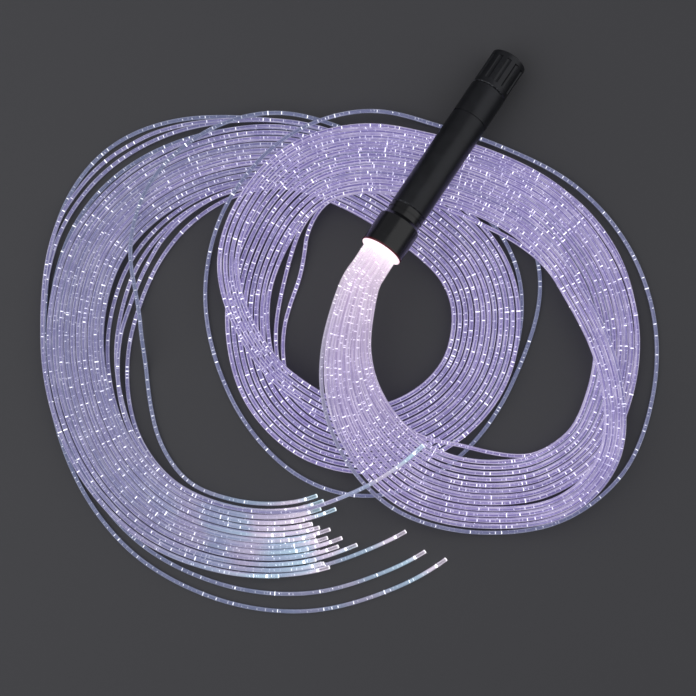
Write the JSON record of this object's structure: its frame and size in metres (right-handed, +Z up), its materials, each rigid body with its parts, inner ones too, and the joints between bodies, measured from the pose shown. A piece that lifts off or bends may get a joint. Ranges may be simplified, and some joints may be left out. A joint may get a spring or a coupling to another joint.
{
  "type": "fibre optic wand",
  "caption": "Torch-style handle with a swivel collar holding a long bundle of sparkle fibre strands, lying on its tail edge with the strands coiled in overlapping loops.",
  "frame": {"origin": "on the table under the middle of the torch's box, strands left out", "axes": "+Z up, +X from the mouth of the torch to its tail, +Y to the left of that"},
  "size_m": [0.4336, 0.4273, 0.0647],
  "materials": {
    "collar_black": "gloss",
    "barrel_black": "black anodised",
    "steel": "satin",
    "bronze": "turned",
    "brass": "turned",
    "clear_resin": "polished",
    "fibre": "clear sleeve",
    "nylon": "matt",
    "black_nylon": "matt",
    "seal_rubber": "matt",
    "button_rubber": "matt",
    "lens_acrylic": "clear",
    "led": "gloss",
    "aluminium_board": "white mask",
    "circuit_board": "green mask",
    "cell_jacket": "plain sleeve"
  },
  "bodies": {
    "fibre_head": {"fibre_collar": "collar_black", "ferrule": "steel", "potted_end": "clear_resin", "grub_screws": "steel", "swivel_bush": "bronze", "fibres_lower": "fibre", "fibres_middle": "fibre", "fibres_upper": "fibre"},
    "handle": {"barrel": "barrel_black", "circlip": "steel", "thrust_washer": "black_nylon", "lens_o_ring": "seal_rubber", "tir_lens": "lens_acrylic", "lens_spacer": "black_nylon", "led_emitter": "led", "led_board": "aluminium_board", "led_pill": "brass", "controller_board": "circuit_board", "contact_plunger": "brass", "battery_carrier": "black_nylon", "carrier_contacts": "steel", "aaa_cells": "cell_jacket"},
    "tail_cap": {"tail_cap": "barrel_black", "rear_o_ring": "seal_rubber", "switch_retainer": "steel", "switch_board": "circuit_board", "switch_body": "black_nylon", "tail_contact": "brass"},
    "power_button": {"power_button": "button_rubber", "switch_plunger": "nylon"}
  },
  "joints": [
    {"name": "collar_swivel", "type": "hinge", "parent": "fibre_head", "child": "handle", "pos_m": [-0.05376, 0, 0.04407], "axis": [0.9732, 0, -0.23], "continuous": true},
    {"name": "cap_unscrew", "type": "slide", "parent": "handle", "child": "tail_cap", "axis": [0.9732, 0, -0.23], "range_m": [0, 0.009]},
    {"name": "button_press", "type": "slide", "parent": "tail_cap", "child": "power_button", "axis": [-0.9732, 0, 0.23], "range_m": [0, 0.0015], "stiffness_N_per_m": 600, "springref_m": -0.001}
  ]
}
